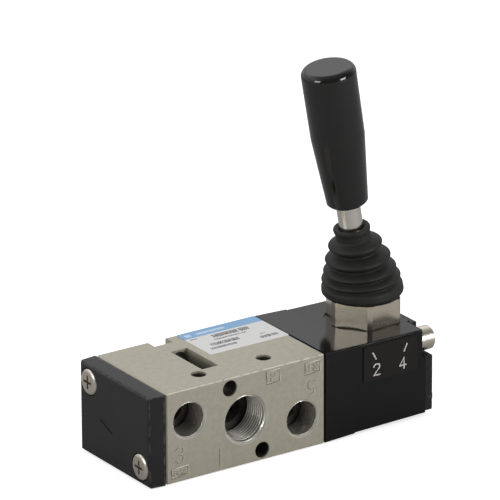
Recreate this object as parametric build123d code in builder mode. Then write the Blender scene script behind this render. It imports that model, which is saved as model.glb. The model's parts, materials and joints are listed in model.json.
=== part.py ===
"""Hand lever air valve: a 5-port, 2-position spool valve with a tilting hand lever.

Frame: origin at the centre of the valve body's underside. +X runs along the spool from the end cap
to the lever housing, -Y is the side with ports 1, 3 and 5, +Z is up. Millimetres throughout.
"""
from build123d import *
from math import cos, radians, sin, sqrt
import os

os.makedirs("parts", exist_ok=True)

# Valve body
body_length = 50.0
body_width = 33.4
body_height = 25.6
body_edge = 0.35
bore_radius = 5.5
groove_radius = 6.8
groove_width = 4.0

# Ports: three in front, two behind
port_pitch = 17.9
port_rise = 4.0
small_port_radius = 4.87
small_port_depth = 8.0
large_port_radius = 6.58
large_port_depth = 9.0
port_chamfer = 0.45
small_passage_radius = 2.8
large_passage_radius = 4.0

# Mounting holes and the relief in the top
side_hole_radius = 2.25
side_hole_spread = 5.07
side_hole_edge = 2.93
top_hole_radius = 2.1
top_hole_pitch = 20.5
top_hole_edge = 7.0
pocket_length = 5.2
pocket_width = 15.0
pocket_depth = 5.2
notch_length = 5.8
notch_width = 3.7
notch_shift = 1.1

# Fixing screws
screw_side = 4.5
screw_edge = 4.9
screw_radius = 2.0
screw_clearance = 0.15
thread_depth = 9.0
pan_radius = 3.7
pan_height = 2.0
seat_depth = 1.6
cylinder_head_radius = 3.3
cylinder_head_height = 3.9
screw_step = 1.1
washer_thickness = 1.0
washer_slit = 0.8
recess_radius = 1.9
recess_slot = 0.75
recess_depth = 1.2
hex_key_radius = 1.7

# End cap
gasket_thickness = 0.4
gasket_inset = 0.5
cap_length = 5.0
cap_draft = 2.0
cap_edge = 0.55
cap_recess_depth = 2.6
cap_mark_length = 6.2
cap_mark_width = 0.5
cap_mark_depth = 0.2
cap_mark_side = 3.8
cap_mark_drop = 2.0
cap_mark_turn = 22.0

# Lever housing
flange_length = 9.7
flange_draft = 1.5
box_length = 23.3
box_inset = 0.43
box_drop = 0.4
box_draft = 0.7
housing_edge = 0.4
cavity_start = 4.6
cavity_width = 15.6
cavity_drop = 8.6
cavity_rise = 8.8
cavity_corner = 2.0
rib_height = 2.2
rib_width = 1.0
rib_gap = 0.2
wall_bore_radius = 4.1

# Rear cover
cover_length = 2.5
cover_margin = 0.7
cover_edge_gap = 1.4
cover_edge = 0.4
cover_screw_length = 12.0

# Plates
plate_length = 17.7
plate_height = 9.9
plate_top_gap = 1.5
plate_offset = 2.7
plate_thickness = 0.3
label_length = 25.0
label_width = 16.7
label_margin = 0.4
label_end_gap = 0.1
label_thickness = 0.12

# Lever: the rod leans from the vertical by lever_tilt at either end of its travel
lever_tilt = 9.4
spool_stroke = 5.0
pivot_offset = 14.1
pivot_ball_radius = 5.0
tip_ball_radius = 2.5
rod_radius = 3.25
rod_neck_radius = 2.0
arm_radius = 1.5
arm_pin_radius = 1.0
rod_thread_radius = 2.5
knob_bottom = 31.6
knob_length = 39.9
knob_taper_length = 19.8
knob_lip = 0.6
knob_bottom_radius = 5.6
knob_mid_radius = 7.25
knob_top_radius = 7.4
knob_round = 1.9
insert_radius = 4.2
insert_length = 20.0

# Ball joint and gland nut on the housing
spigot_radius = 7.5
ball_split = 0.1
cup_mouth = 3.4
seat_radius = 6.0
seat_shoulder = 4.6
seat_rise = 4.2
nut_across_flats = 18.6
nut_corner_radius = 10.35
nut_turn = 5.0
nut_seat_drop = 0.9
nut_seat_margin = 0.3
nut_rise = 4.05
nut_top_wall = 1.0
nut_mouth_radius = 5.3
nut_neck_radius = 7.2
nut_neck_height = 1.9

# Boot: ring heights above the nut's top and their outer radii
boot_wall = 0.9
boot_skirt = 2.1
boot_collar_height = 2.2
boot_rings = [
    (0.0, 10.2), (0.9, 10.9), (1.8, 11.05), (3.1, 10.9), (4.0, 9.9), (4.8, 10.6), (5.7, 10.6),
    (6.6, 9.1), (7.4, 9.75), (8.2, 9.75), (9.4, 7.6), (10.7, 8.85), (11.9, 8.7), (13.4, 6.0),
    (14.9, 7.3), (16.0, 7.1), (17.5, 4.8), (18.3, 4.6), (19.7, 4.7), (20.5, 5.0),
]

# Spool, its seals and its detent
land_radius = 5.42
land_width = 2.8
waist_radius = 3.0
seal_width = 1.8
seal_groove_radius = 3.9
spool_rod_radius = 3.5
spool_guide_width = 3.0
spool_overhang = 0.6
yoke_radius = 4.5
yoke_stub_radius = 2.0
yoke_stub_length = 4.4
yoke_tail = 4.0
rod_seal_radius = 7.0
rod_seal_width = 2.5
retainer_width = 1.6
detent_place = 8.0
detent_depth = 0.7
detent_wire = 0.6
detent_leg = 11.0

# Clearances
slip = 0.05
side_play = 0.1
head_gap = 0.3
joint_play = 0.05

axis_height = body_height / 2
right_face = body_length / 2
left_face = -right_face
front_face = -body_width / 2
back_face = -front_face
cap_face = left_face - gasket_thickness
housing_face = right_face + gasket_thickness
box_face = housing_face + flange_length
housing_end = box_face + box_length
spool_axis = Axis((0, 0, axis_height), (1, 0, 0))

screw_y = back_face - screw_side
screw_z = axis_height - screw_edge
cap_screw_places = [(screw_y, axis_height + screw_z), (-screw_y, axis_height - screw_z)]
housing_screw_places = [(-screw_y, axis_height + screw_z), (screw_y, axis_height - screw_z)]

arm_reach = spool_stroke / 2 / sin(radians(lever_tilt))
pivot_height = axis_height + arm_reach * cos(radians(lever_tilt))
yoke_at_rest = spool_stroke / 2
pivot_place = box_face + pivot_offset
nut_seat = body_height - nut_seat_drop
nut_top = pivot_height + nut_rise
retainer_start = pivot_height - ball_split
cavity_floor = axis_height - cavity_drop
cavity_roof = axis_height + cavity_rise


def yz_plane(x):
    """Plane across the spool at x, with sketch x along +Y and sketch y along +Z."""
    return Plane(origin=(x, 0, 0), x_dir=(0, 1, 0), z_dir=(1, 0, 0))


def wall_plane(y, outward):
    """Plane on a front or back wall, with sketch x along +X on the front and -X behind."""
    return Plane(origin=(0, y, 0), x_dir=(-outward, 0, 0), z_dir=(0, outward, 0))


lever_up = Vector(-sin(radians(lever_tilt)), 0, cos(radians(lever_tilt)))
lever_out = Vector(cos(radians(lever_tilt)), 0, sin(radians(lever_tilt)))
pivot = Vector(pivot_place, 0, pivot_height)
lever_axis = Axis(pivot, lever_up)
lever_section = Plane(origin=pivot, x_dir=lever_out, z_dir=(0, -1, 0))
pivot_section = Plane(origin=pivot, x_dir=(1, 0, 0), z_dir=(0, -1, 0))
pivot_axis = Axis(pivot, (0, 0, 1))


def lever_plane(height):
    """Plane square to the lever at a height above its pivot."""
    return Plane(origin=pivot + lever_up * height, x_dir=lever_out, z_dir=lever_up)


# Valve body -------------------------------------------------------------------------------------
with BuildPart() as valve_body:
    with BuildSketch(Plane.XY):
        Rectangle(body_length, body_width)
    extrude(amount=body_height)
    chamfer(valve_body.edges(), body_edge)
    # spool bore with a groove at each port
    with BuildSketch(yz_plane(left_face)):
        with Locations((0, axis_height)):
            Circle(bore_radius)
    extrude(amount=body_length, mode=Mode.SUBTRACT)
    for step in range(-2, 3):
        with BuildSketch(yz_plane(step * port_pitch / 2 - groove_width / 2)):
            with Locations((0, axis_height)):
                Circle(groove_radius)
        extrude(amount=groove_width, mode=Mode.SUBTRACT)
    # counterbore for the rod's seal
    with BuildSketch(yz_plane(right_face)):
        with Locations((0, axis_height)):
            Circle(rod_seal_radius)
    extrude(amount=-(rod_seal_width + retainer_width), mode=Mode.SUBTRACT)
    # ports: threaded mouth, then a passage to the bore's groove
    front_ports = [
        (-port_pitch, port_rise, small_port_radius, small_port_depth, small_passage_radius),
        (0, 0, large_port_radius, large_port_depth, large_passage_radius),
        (port_pitch, -port_rise, small_port_radius, small_port_depth, small_passage_radius),
    ]
    back_ports = [
        (side * port_pitch / 2, 0, large_port_radius, large_port_depth, large_passage_radius)
        for side in (1, -1)
    ]
    for outward, wall, ports in ((-1, front_face, front_ports), (1, back_face, back_ports)):
        for x, rise, radius, depth, passage in ports:
            place = (-outward * x, axis_height + rise)
            with BuildSketch(wall_plane(wall, outward)):
                with Locations(place):
                    Circle(radius)
            extrude(amount=-depth, mode=Mode.SUBTRACT)
            with BuildSketch(wall_plane(wall - outward * depth, outward)):
                with Locations(place):
                    Circle(passage)
            extrude(amount=-(body_width / 2 - depth - abs(rise)), mode=Mode.SUBTRACT)
            with BuildSketch(wall_plane(wall, outward)):
                with Locations(place):
                    Circle(radius + port_chamfer)
            extrude(amount=-port_chamfer, taper=45, mode=Mode.SUBTRACT)
    # holes across the body and down through it
    with BuildSketch(wall_plane(front_face, -1)):
        for side in (-1, 1):
            with Locations((side * side_hole_spread, axis_height - side * (axis_height - side_hole_edge))):
                Circle(side_hole_radius)
    extrude(amount=-body_width, mode=Mode.SUBTRACT)
    with BuildSketch(Plane.XY):
        with Locations((0, front_face + top_hole_edge)):
            with GridLocations(top_hole_pitch, 0, 2, 1):
                Circle(top_hole_radius)
    extrude(amount=body_height, mode=Mode.SUBTRACT)
    # relief over the upper cross hole: a pocket, and a notch in the back edge
    with BuildSketch(Plane.XY.offset(body_height)):
        with Locations((-side_hole_spread, 0)):
            Rectangle(pocket_length, pocket_width)
        with Locations((-side_hole_spread - notch_shift, back_face - notch_width / 2)):
            Rectangle(notch_length, notch_width)
    extrude(amount=-pocket_depth, mode=Mode.SUBTRACT)
    # tapped holes for the screws at both ends
    for face, inward, places in (
        (left_face, 1, cap_screw_places),
        (right_face, -1, housing_screw_places),
    ):
        with BuildSketch(yz_plane(face)):
            with Locations(*places):
                Circle(screw_radius + slip)
        extrude(amount=inward * thread_depth, mode=Mode.SUBTRACT)
valve_body.part.label = "valve_body"
export_step(valve_body.part, "parts/valve_body.step")


def build_gasket(face, hole_radius, screw_places):
    """Flat gasket that stands back from the body's outline, on the face at x."""
    with BuildPart() as gasket:
        with BuildSketch(yz_plane(face)):
            with Locations((0, axis_height)):
                Rectangle(body_width - 2 * gasket_inset, body_height - 2 * gasket_inset)
                Circle(hole_radius, mode=Mode.SUBTRACT)
            with Locations(*screw_places):
                Circle(screw_radius + screw_clearance, mode=Mode.SUBTRACT)
        extrude(amount=gasket_thickness)
    return gasket.part


# Gaskets ----------------------------------------------------------------------------------------
end_cap_gasket = build_gasket(cap_face, bore_radius + 0.2, cap_screw_places)
end_cap_gasket.label = "end_cap_gasket"
export_step(end_cap_gasket, "parts/end_cap_gasket.step")

housing_gasket = build_gasket(right_face, wall_bore_radius, housing_screw_places)
housing_gasket.label = "housing_gasket"
export_step(housing_gasket, "parts/housing_gasket.step")

# End cap ----------------------------------------------------------------------------------------
with BuildPart() as end_cap:
    with BuildSketch(yz_plane(cap_face)):
        with Locations((0, axis_height)):
            Rectangle(body_width, body_height)
    extrude(amount=-cap_length, taper=cap_draft)
    chamfer(end_cap.faces().sort_by(Axis.X)[0].edges(), cap_edge)
    with BuildSketch(yz_plane(cap_face)):
        with Locations((0, axis_height)):
            Circle(bore_radius)
    extrude(amount=-cap_recess_depth, mode=Mode.SUBTRACT)
    with BuildSketch(yz_plane(cap_face)):
        with Locations(*cap_screw_places):
            Circle(screw_radius + screw_clearance)
    extrude(amount=-cap_length, mode=Mode.SUBTRACT)
    with BuildSketch(yz_plane(cap_face - cap_length)):
        with Locations(*cap_screw_places):
            Circle(pan_radius + screw_clearance)
    extrude(amount=seat_depth, mode=Mode.SUBTRACT)
    # shallow moulded mark in the face
    with BuildSketch(yz_plane(cap_face - cap_length)):
        with Locations(Location((cap_mark_side, axis_height - cap_mark_drop, 0), (0, 0, cap_mark_turn))):
            SlotOverall(cap_mark_length, cap_mark_width)
    extrude(amount=cap_mark_depth, mode=Mode.SUBTRACT)
end_cap.part.label = "end_cap"
export_step(end_cap.part, "parts/end_cap.step")


def build_pan_screws(seat, outward, places, length):
    """Cross-recess pan head screws whose heads sit on the plane x = seat."""
    with BuildPart() as screws:
        with BuildSketch(yz_plane(seat)):
            with Locations(*places):
                Circle(screw_radius)
        extrude(amount=-outward * length)
        with BuildSketch(yz_plane(seat)):
            with Locations(*places):
                Circle(pan_radius)
        extrude(amount=outward * pan_height)
        tops = screws.faces().group_by(Axis.X)[-1 if outward > 0 else 0]
        fillet(tops.edges(), pan_height / 2)
        with BuildSketch(yz_plane(seat + outward * pan_height)):
            with Locations(*places):
                Rectangle(2 * recess_radius, recess_slot)
                Rectangle(recess_slot, 2 * recess_radius)
        extrude(amount=-outward * recess_depth, mode=Mode.SUBTRACT)
    return screws.part


# Screws of the end cap and of the rear cover ----------------------------------------------------
cap_screw_length = cap_length - seat_depth + gasket_thickness + thread_depth - 1
end_cap_screws = build_pan_screws(
    cap_face - cap_length + seat_depth, -1, cap_screw_places, cap_screw_length
)
end_cap_screws.label = "end_cap_screws"
export_step(end_cap_screws, "parts/end_cap_screws.step")

rear_cover_screws = build_pan_screws(
    housing_end + cover_length - seat_depth, 1, cap_screw_places, cover_screw_length
)
rear_cover_screws.label = "rear_cover_screws"
export_step(rear_cover_screws, "parts/rear_cover_screws.step")

# Lever housing ----------------------------------------------------------------------------------
def build_screw_notches(x):
    """Sketch the two corners that the long screws' heads stand in, at a place along the spool."""
    inner_y = screw_y - cylinder_head_radius - head_gap
    inner_z = screw_z - cylinder_head_radius - head_gap
    with BuildSketch(yz_plane(x)) as notches:
        with Locations((-inner_y, axis_height + inner_z)):
            Rectangle(body_width, body_height, align=(Align.MAX, Align.MIN))
        with Locations((inner_y, axis_height - inner_z)):
            Rectangle(body_width, body_height, align=(Align.MIN, Align.MAX))
    return notches.sketch


screw_seat = housing_end - screw_step
with BuildPart() as lever_housing:
    with BuildSketch(yz_plane(housing_face)):
        with Locations((0, axis_height)):
            Rectangle(body_width, body_height)
    extrude(amount=flange_length, taper=flange_draft)
    with BuildSketch(yz_plane(box_face)):
        with Locations((0, axis_height)):
            Rectangle(body_width - 2 * box_inset, body_height - 2 * box_drop)
    extrude(amount=box_length, taper=box_draft)
    long_edges = lever_housing.edges().filter_by(lambda edge: abs(edge.tangent_at(0.5).X) > 0.9)
    fillet(long_edges, housing_edge)
    # spot face for the gland nut, and its threaded spigot
    with BuildSketch(Plane.XY.offset(nut_seat)):
        with Locations((pivot_place, 0)):
            Circle(nut_corner_radius + nut_seat_margin)
    extrude(amount=nut_seat_drop, mode=Mode.SUBTRACT)
    with BuildSketch(Plane.XY.offset(cavity_roof)):
        with Locations((pivot_place, 0)):
            Circle(spigot_radius)
    extrude(amount=retainer_start - cavity_roof)
    # room for the yoke, open at the rear
    with BuildSketch(yz_plane(housing_face + cavity_start)):
        with Locations((0, (cavity_floor + cavity_roof) / 2)):
            RectangleRounded(cavity_width, cavity_roof - cavity_floor, cavity_corner)
    extrude(amount=housing_end - housing_face - cavity_start, mode=Mode.SUBTRACT)
    with BuildSketch(yz_plane(housing_face)):
        with Locations((0, axis_height)):
            Circle(wall_bore_radius)
    extrude(amount=cavity_start, mode=Mode.SUBTRACT)
    # bore for the ball seat, with its shoulder
    with BuildSketch(Plane.XY.offset(pivot_height - seat_rise)):
        with Locations((pivot_place, 0)):
            Circle(seat_radius + slip)
    extrude(amount=seat_rise + pivot_ball_radius, mode=Mode.SUBTRACT)
    with BuildSketch(Plane.XY.offset(cavity_roof)):
        with Locations((pivot_place, 0)):
            Circle(seat_shoulder)
    extrude(amount=pivot_height - cavity_roof, mode=Mode.SUBTRACT)
    # seats and through holes for the long screws, tapped holes for the cover's screws
    extrude(build_screw_notches(housing_end), amount=-screw_step, mode=Mode.SUBTRACT)
    with BuildSketch(yz_plane(housing_face)):
        with Locations(*housing_screw_places):
            Circle(screw_radius + screw_clearance)
    extrude(amount=flange_length + box_length, mode=Mode.SUBTRACT)
    with BuildSketch(yz_plane(housing_end)):
        with Locations(*cap_screw_places):
            Circle(screw_radius + slip)
    extrude(amount=-(cover_screw_length - cover_length + seat_depth + 1), mode=Mode.SUBTRACT)
    # pair of ribs that keep the detent spring in place
    for side in (-1, 1):
        rib_face = housing_face + detent_place + side * (detent_wire + rib_gap)
        with BuildSketch(yz_plane(rib_face)):
            with Locations((0, cavity_floor)):
                Rectangle(cavity_width, 2 * rib_height)
        extrude(amount=side * rib_width)
lever_housing.part.label = "lever_housing"
export_step(lever_housing.part, "parts/lever_housing.step")

# Rear cover -------------------------------------------------------------------------------------
with BuildPart() as rear_cover:
    with BuildSketch(yz_plane(housing_end)):
        with Locations((0, axis_height)):
            Rectangle(body_width - 2 * cover_margin, body_height - 2 * cover_edge_gap)
    extrude(amount=cover_length)
    extrude(build_screw_notches(housing_end), amount=cover_length, mode=Mode.SUBTRACT)
    chamfer(rear_cover.faces().sort_by(Axis.X)[-1].outer_wire().edges(), cover_edge)
    with BuildSketch(yz_plane(housing_end)):
        with Locations(*cap_screw_places):
            Circle(screw_radius + screw_clearance)
    extrude(amount=cover_length, mode=Mode.SUBTRACT)
    with BuildSketch(yz_plane(housing_end + cover_length)):
        with Locations(*cap_screw_places):
            Circle(pan_radius + screw_clearance)
    extrude(amount=-seat_depth, mode=Mode.SUBTRACT)
rear_cover.part.label = "rear_cover"
export_step(rear_cover.part, "parts/rear_cover.step")

# Long screws through the housing into the body --------------------------------------------------
head_seat = screw_seat + washer_thickness
with BuildPart() as lock_washers:
    with BuildSketch(yz_plane(screw_seat)):
        for y, z in housing_screw_places:
            with Locations((y, z)):
                Circle(cylinder_head_radius)
                Circle(screw_radius + screw_clearance, mode=Mode.SUBTRACT)
                slit_align = (Align.MIN, Align.CENTER)
                Rectangle(cylinder_head_radius, washer_slit, align=slit_align, mode=Mode.SUBTRACT)
    extrude(amount=washer_thickness)
lock_washers.part.label = "lock_washers"
export_step(lock_washers.part, "parts/lock_washers.step")

with BuildPart() as housing_screws:
    with BuildSketch(yz_plane(head_seat)):
        with Locations(*housing_screw_places):
            Circle(screw_radius)
    extrude(amount=-(head_seat - right_face + thread_depth - 1))
    with BuildSketch(yz_plane(head_seat)):
        with Locations(*housing_screw_places):
            Circle(cylinder_head_radius)
    extrude(amount=cylinder_head_height)
    chamfer(housing_screws.faces().group_by(Axis.X)[-1].edges(), 0.4)
    with BuildSketch(yz_plane(head_seat + cylinder_head_height)):
        with Locations(*housing_screw_places):
            RegularPolygon(hex_key_radius, 6)
    extrude(amount=-cylinder_head_height / 2, mode=Mode.SUBTRACT)
housing_screws.part.label = "housing_screws"
export_step(housing_screws.part, "parts/housing_screws.step")

# Position plate on the housing's front ----------------------------------------------------------
plate_wall = body_width / 2 - box_inset
plate_middle = body_height - plate_top_gap - plate_height / 2
plate_along = (cos(radians(box_draft)), sin(radians(box_draft)), 0)
plate_out = (sin(radians(box_draft)), -cos(radians(box_draft)), 0)
with BuildPart() as position_plate:
    with BuildSketch(Plane(origin=(box_face, -plate_wall, 0), x_dir=plate_along, z_dir=plate_out)):
        with Locations((plate_offset + plate_length / 2, plate_middle)):
            RectangleRounded(plate_length, plate_height, 0.6)
    extrude(amount=plate_thickness)
position_plate.part.label = "position_plate"
export_step(position_plate.part, "parts/position_plate.step")

# Label on top of the body -----------------------------------------------------------------------
label_middle = back_face - label_margin - label_width / 2
with BuildPart() as flow_label:
    with BuildSketch(Plane.XY.offset(body_height)):
        with Locations((right_face - label_end_gap - label_length / 2, label_middle)):
            RectangleRounded(label_length, label_width, 0.5)
    extrude(amount=label_thickness)
flow_label.part.label = "flow_label"
export_step(flow_label.part, "parts/flow_label.step")

# Spool, at the right-hand end of its stroke -----------------------------------------------------
seal_places = [
    -port_pitch / 2 + 0.5,
    -port_pitch / 4,
    port_pitch / 2 + 0.5,
    port_pitch * 3 / 4,
]
spool_start = left_face + spool_stroke - cap_recess_depth + spool_overhang
yoke_centre = pivot_place + yoke_at_rest
stub_end = yoke_centre - tip_ball_radius - side_play - 0.5
stub_start = stub_end - yoke_stub_length
rod_start = seal_places[-1] + land_width / 2
detent_x = housing_face + detent_place

with BuildPart() as spool:
    with BuildSketch(yz_plane(spool_start)):
        with Locations((0, axis_height)):
            Circle(land_radius)
    extrude(amount=spool_guide_width)
    with BuildSketch(yz_plane(spool_start)):
        with Locations((0, axis_height)):
            Circle(waist_radius)
    extrude(amount=rod_start - spool_start)
    for x in seal_places:
        with BuildSketch(yz_plane(x - land_width / 2)):
            with Locations((0, axis_height)):
                Circle(land_radius)
        extrude(amount=land_width)
    for x in seal_places:
        with BuildSketch(yz_plane(x - seal_width / 2)):
            with Locations((0, axis_height)):
                Circle(land_radius + 1)
                Circle(seal_groove_radius, mode=Mode.SUBTRACT)
        extrude(amount=seal_width, mode=Mode.SUBTRACT)
    with BuildSketch(yz_plane(rod_start)):
        with Locations((0, axis_height)):
            Circle(spool_rod_radius)
    extrude(amount=stub_start - rod_start)
    with BuildSketch(yz_plane(stub_start)):
        with Locations((0, axis_height)):
            Circle(yoke_stub_radius)
    extrude(amount=yoke_stub_length - side_play)
    # two detent grooves, one stroke apart
    with BuildSketch(Plane.XZ):
        for x in (detent_x, detent_x + spool_stroke):
            with Locations((x, axis_height + spool_rod_radius)):
                Rectangle(2 * (detent_wire + slip), 2 * (detent_wire + slip), rotation=45)
    revolve(axis=spool_axis, mode=Mode.SUBTRACT)
spool.part.label = "spool"
export_step(spool.part, "parts/spool.step")

with BuildPart() as spool_seals:
    for x in seal_places:
        with BuildSketch(yz_plane(x - seal_width / 2 + slip)):
            with Locations((0, axis_height)):
                Circle(bore_radius - joint_play)
                Circle(seal_groove_radius + slip, mode=Mode.SUBTRACT)
        extrude(amount=seal_width - 2 * slip)
spool_seals.part.label = "spool_seals"
export_step(spool_seals.part, "parts/spool_seals.step")

# Block on the spool's rod, with a cross hole for the lever's tip --------------------------------
with BuildPart() as spool_yoke:
    with BuildSketch(yz_plane(stub_start)):
        with Locations((0, axis_height)):
            Circle(yoke_radius)
    extrude(amount=yoke_centre + yoke_tail - stub_start)
    chamfer(spool_yoke.edges().filter_by(GeomType.CIRCLE), 0.4)
    with BuildSketch(yz_plane(stub_start)):
        with Locations((0, axis_height)):
            Circle(yoke_stub_radius + slip)
    extrude(amount=yoke_stub_length, mode=Mode.SUBTRACT)
    with BuildSketch(Plane.XY.offset(axis_height - yoke_radius)):
        with Locations((yoke_centre, 0)):
            Circle(tip_ball_radius + side_play)
    extrude(amount=2 * yoke_radius, mode=Mode.SUBTRACT)
spool_yoke.part.label = "spool_yoke"
export_step(spool_yoke.part, "parts/spool_yoke.step")


def build_ring(start, width, outer, inner):
    """Plain ring round the spool's axis."""
    with BuildPart() as ring:
        with BuildSketch(yz_plane(start)):
            with Locations((0, axis_height)):
                Circle(outer)
                Circle(inner, mode=Mode.SUBTRACT)
        extrude(amount=width)
    return ring.part


# Fixed seal round the rod, and the ring that holds it in the body -------------------------------
rod_seal = build_ring(
    right_face - retainer_width - rod_seal_width,
    rod_seal_width,
    rod_seal_radius,
    spool_rod_radius + joint_play,
)
rod_seal.label = "rod_seal"
export_step(rod_seal, "parts/rod_seal.step")

seal_retainer = build_ring(
    right_face - retainer_width, retainer_width, rod_seal_radius, spool_rod_radius + 2 * joint_play
)
seal_retainer.label = "seal_retainer"
export_step(seal_retainer, "parts/seal_retainer.step")

# Hairpin detent spring astride the rod ----------------------------------------------------------
leg_offset = spool_rod_radius + detent_wire - detent_depth + slip
bend_height = cavity_floor + detent_wire + leg_offset
with BuildPart() as detent_spring:
    with BuildLine(yz_plane(detent_x)):
        Line((-leg_offset, bend_height + detent_leg), (-leg_offset, bend_height))
        RadiusArc((-leg_offset, bend_height), (leg_offset, bend_height), leg_offset, short_sagitta=True)
        Line((leg_offset, bend_height), (leg_offset, bend_height + detent_leg))
    with BuildSketch(Plane(origin=(detent_x, -leg_offset, bend_height + detent_leg))):
        Circle(detent_wire)
    sweep()
detent_spring.part.label = "detent_spring"
export_step(detent_spring.part, "parts/detent_spring.step")

# Gland nut --------------------------------------------------------------------------------------
with BuildPart() as gland_nut:
    with BuildSketch(Plane.XY.offset(nut_seat)):
        with Locations((pivot_place, 0)):
            RegularPolygon(nut_across_flats / 2, 6, major_radius=False, rotation=nut_turn)
            Circle(nut_corner_radius, mode=Mode.INTERSECT)
    extrude(amount=nut_top - nut_seat)
    with BuildSketch(Plane.XY.offset(nut_top)):
        with Locations((pivot_place, 0)):
            Circle(nut_neck_radius)
    extrude(amount=nut_neck_height)
    with BuildSketch(Plane.XY.offset(nut_seat)):
        with Locations((pivot_place, 0)):
            Circle(spigot_radius + slip)
    extrude(amount=nut_top - nut_top_wall - nut_seat, mode=Mode.SUBTRACT)
    with BuildSketch(Plane.XY.offset(nut_top - nut_top_wall)):
        with Locations((pivot_place, 0)):
            Circle(nut_mouth_radius)
    extrude(amount=nut_top_wall + nut_neck_height, mode=Mode.SUBTRACT)
gland_nut.part.label = "gland_nut"
export_step(gland_nut.part, "parts/gland_nut.step")


def build_cup(low, high, outer, inner):
    """Ring between two heights with a spherical seat for the pivot ball turned out of it."""
    with BuildPart() as cup:
        with BuildSketch(Plane.XY.offset(low)):
            with Locations((pivot_place, 0)):
                Circle(outer)
                Circle(inner, mode=Mode.SUBTRACT)
        extrude(amount=high - low)
        with BuildSketch(pivot_section):
            Circle(pivot_ball_radius + joint_play)
            with Locations((-2 * pivot_ball_radius, 0)):
                Rectangle(4 * pivot_ball_radius, 4 * pivot_ball_radius, mode=Mode.SUBTRACT)
        revolve(axis=pivot_axis, mode=Mode.SUBTRACT)
    return cup.part


# Seat under the pivot ball, and the ring over it ------------------------------------------------
ball_seat = build_cup(pivot_height - seat_rise, retainer_start - slip, seat_radius, cup_mouth)
ball_seat.label = "ball_seat"
export_step(ball_seat, "parts/ball_seat.step")

ball_retainer = build_cup(
    retainer_start, nut_top - nut_top_wall - slip, spigot_radius - slip, cup_mouth
)
ball_retainer.label = "ball_retainer"
export_step(ball_retainer, "parts/ball_retainer.step")

# Lever: rod, balls, insert and knob -------------------------------------------------------------
thread_end = knob_bottom + insert_length - 1.0
with BuildPart() as lever_rod:
    with BuildSketch(lever_section):
        with BuildLine():
            Polyline(
                (0, -arm_reach - 1.2),
                (arm_pin_radius, -arm_reach - 1.2),
                (arm_pin_radius, -arm_reach + tip_ball_radius),
                (arm_radius, -arm_reach + tip_ball_radius + 0.6),
                (arm_radius, -pivot_ball_radius),
                (rod_neck_radius, -pivot_ball_radius),
                (rod_neck_radius, pivot_ball_radius),
                (rod_radius, pivot_ball_radius),
                (rod_radius, knob_bottom - 0.4),
                (rod_radius - 0.3, knob_bottom - 0.05),
                (rod_thread_radius, knob_bottom - 0.05),
                (rod_thread_radius, thread_end),
                (0, thread_end),
                close=True,
            )
        make_face()
    revolve(axis=lever_axis)
lever_rod.part.label = "lever_rod"
export_step(lever_rod.part, "parts/lever_rod.step")


def build_ball(height, radius, hole):
    """Ball on the lever's axis with a hole for the rod."""
    with BuildPart() as ball:
        with BuildSketch(lever_section):
            with BuildLine():
                CenterArc((0, height), radius, -90, 180)
                Line((0, height + radius), (0, height - radius))
            make_face()
        revolve(axis=lever_axis)
        with BuildSketch(lever_plane(height - 2 * radius)):
            Circle(hole)
        extrude(amount=4 * radius, mode=Mode.SUBTRACT)
    return ball.part


pivot_ball = build_ball(0, pivot_ball_radius, rod_neck_radius + slip)
pivot_ball.label = "pivot_ball"
export_step(pivot_ball, "parts/pivot_ball.step")

tip_ball = build_ball(-arm_reach, tip_ball_radius, arm_pin_radius + slip)
tip_ball.label = "tip_ball"
export_step(tip_ball, "parts/tip_ball.step")

with BuildPart() as knob_insert:
    with BuildSketch(lever_plane(knob_bottom)):
        Circle(insert_radius)
        Circle(rod_thread_radius + slip, mode=Mode.SUBTRACT)
    extrude(amount=insert_length)
knob_insert.part.label = "knob_insert"
export_step(knob_insert.part, "parts/knob_insert.step")

knob_top = knob_bottom + knob_length
with BuildPart() as lever_knob:
    with BuildSketch(lever_section) as knob_section:
        with BuildLine():
            Polyline(
                (0, knob_bottom),
                (knob_bottom_radius - knob_lip, knob_bottom),
                (knob_bottom_radius, knob_bottom + knob_lip),
                (knob_mid_radius, knob_bottom + knob_taper_length),
                (knob_top_radius, knob_top),
                (0, knob_top),
                close=True,
            )
        make_face()
        rim = knob_section.vertices().group_by(Axis.Y)[-1].sort_by(Axis.X)[-1]
        fillet(rim, knob_round)
    revolve(axis=lever_axis)
    with BuildSketch(lever_plane(knob_bottom)):
        Circle(insert_radius)
    extrude(amount=insert_length, mode=Mode.SUBTRACT)
lever_knob.part.label = "lever_knob"
export_step(lever_knob.part, "parts/lever_knob.step")

# Boot: bellows whose rings lean further over towards the lever's rod ----------------------------
boot_base = nut_top - pivot_height
boot_height = boot_rings[-1][0]


def boot_plane(height):
    """Plane of the boot's ring at a height, leaning from level at the nut to square to the rod."""
    lean = radians(lever_tilt) * sqrt(height / boot_height)
    direction = Vector(-sin(lean), 0, cos(lean))
    across = Vector(cos(lean), 0, sin(lean))
    return Plane(origin=pivot + direction * (boot_base + height), x_dir=across, z_dir=direction)


boot_bore = rod_radius + joint_play
with BuildPart() as boot:
    for height, radius in boot_rings:
        with BuildSketch(boot_plane(height)):
            Circle(radius)
    loft(ruled=True)
    with BuildSketch(Plane.XY.offset(nut_top)):
        with Locations((pivot_place, 0)):
            Circle(nut_neck_radius + slip)
    extrude(amount=boot_skirt, mode=Mode.SUBTRACT)
    hollow_end = boot_height - boot_collar_height
    inner_rings = [(boot_skirt - 0.5, 9.0)] + [
        (height, radius - boot_wall) for height, radius in boot_rings if 2.5 < height < hollow_end
    ]
    for height, radius in inner_rings:
        with BuildSketch(boot_plane(height)):
            Circle(max(radius, boot_bore))
    loft(ruled=True, mode=Mode.SUBTRACT)
    with BuildSketch(lever_plane(boot_base + boot_height / 2)):
        Circle(boot_bore)
    extrude(amount=boot_height, mode=Mode.SUBTRACT)
boot.part.label = "boot"
export_step(boot.part, "parts/boot.step")
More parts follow.
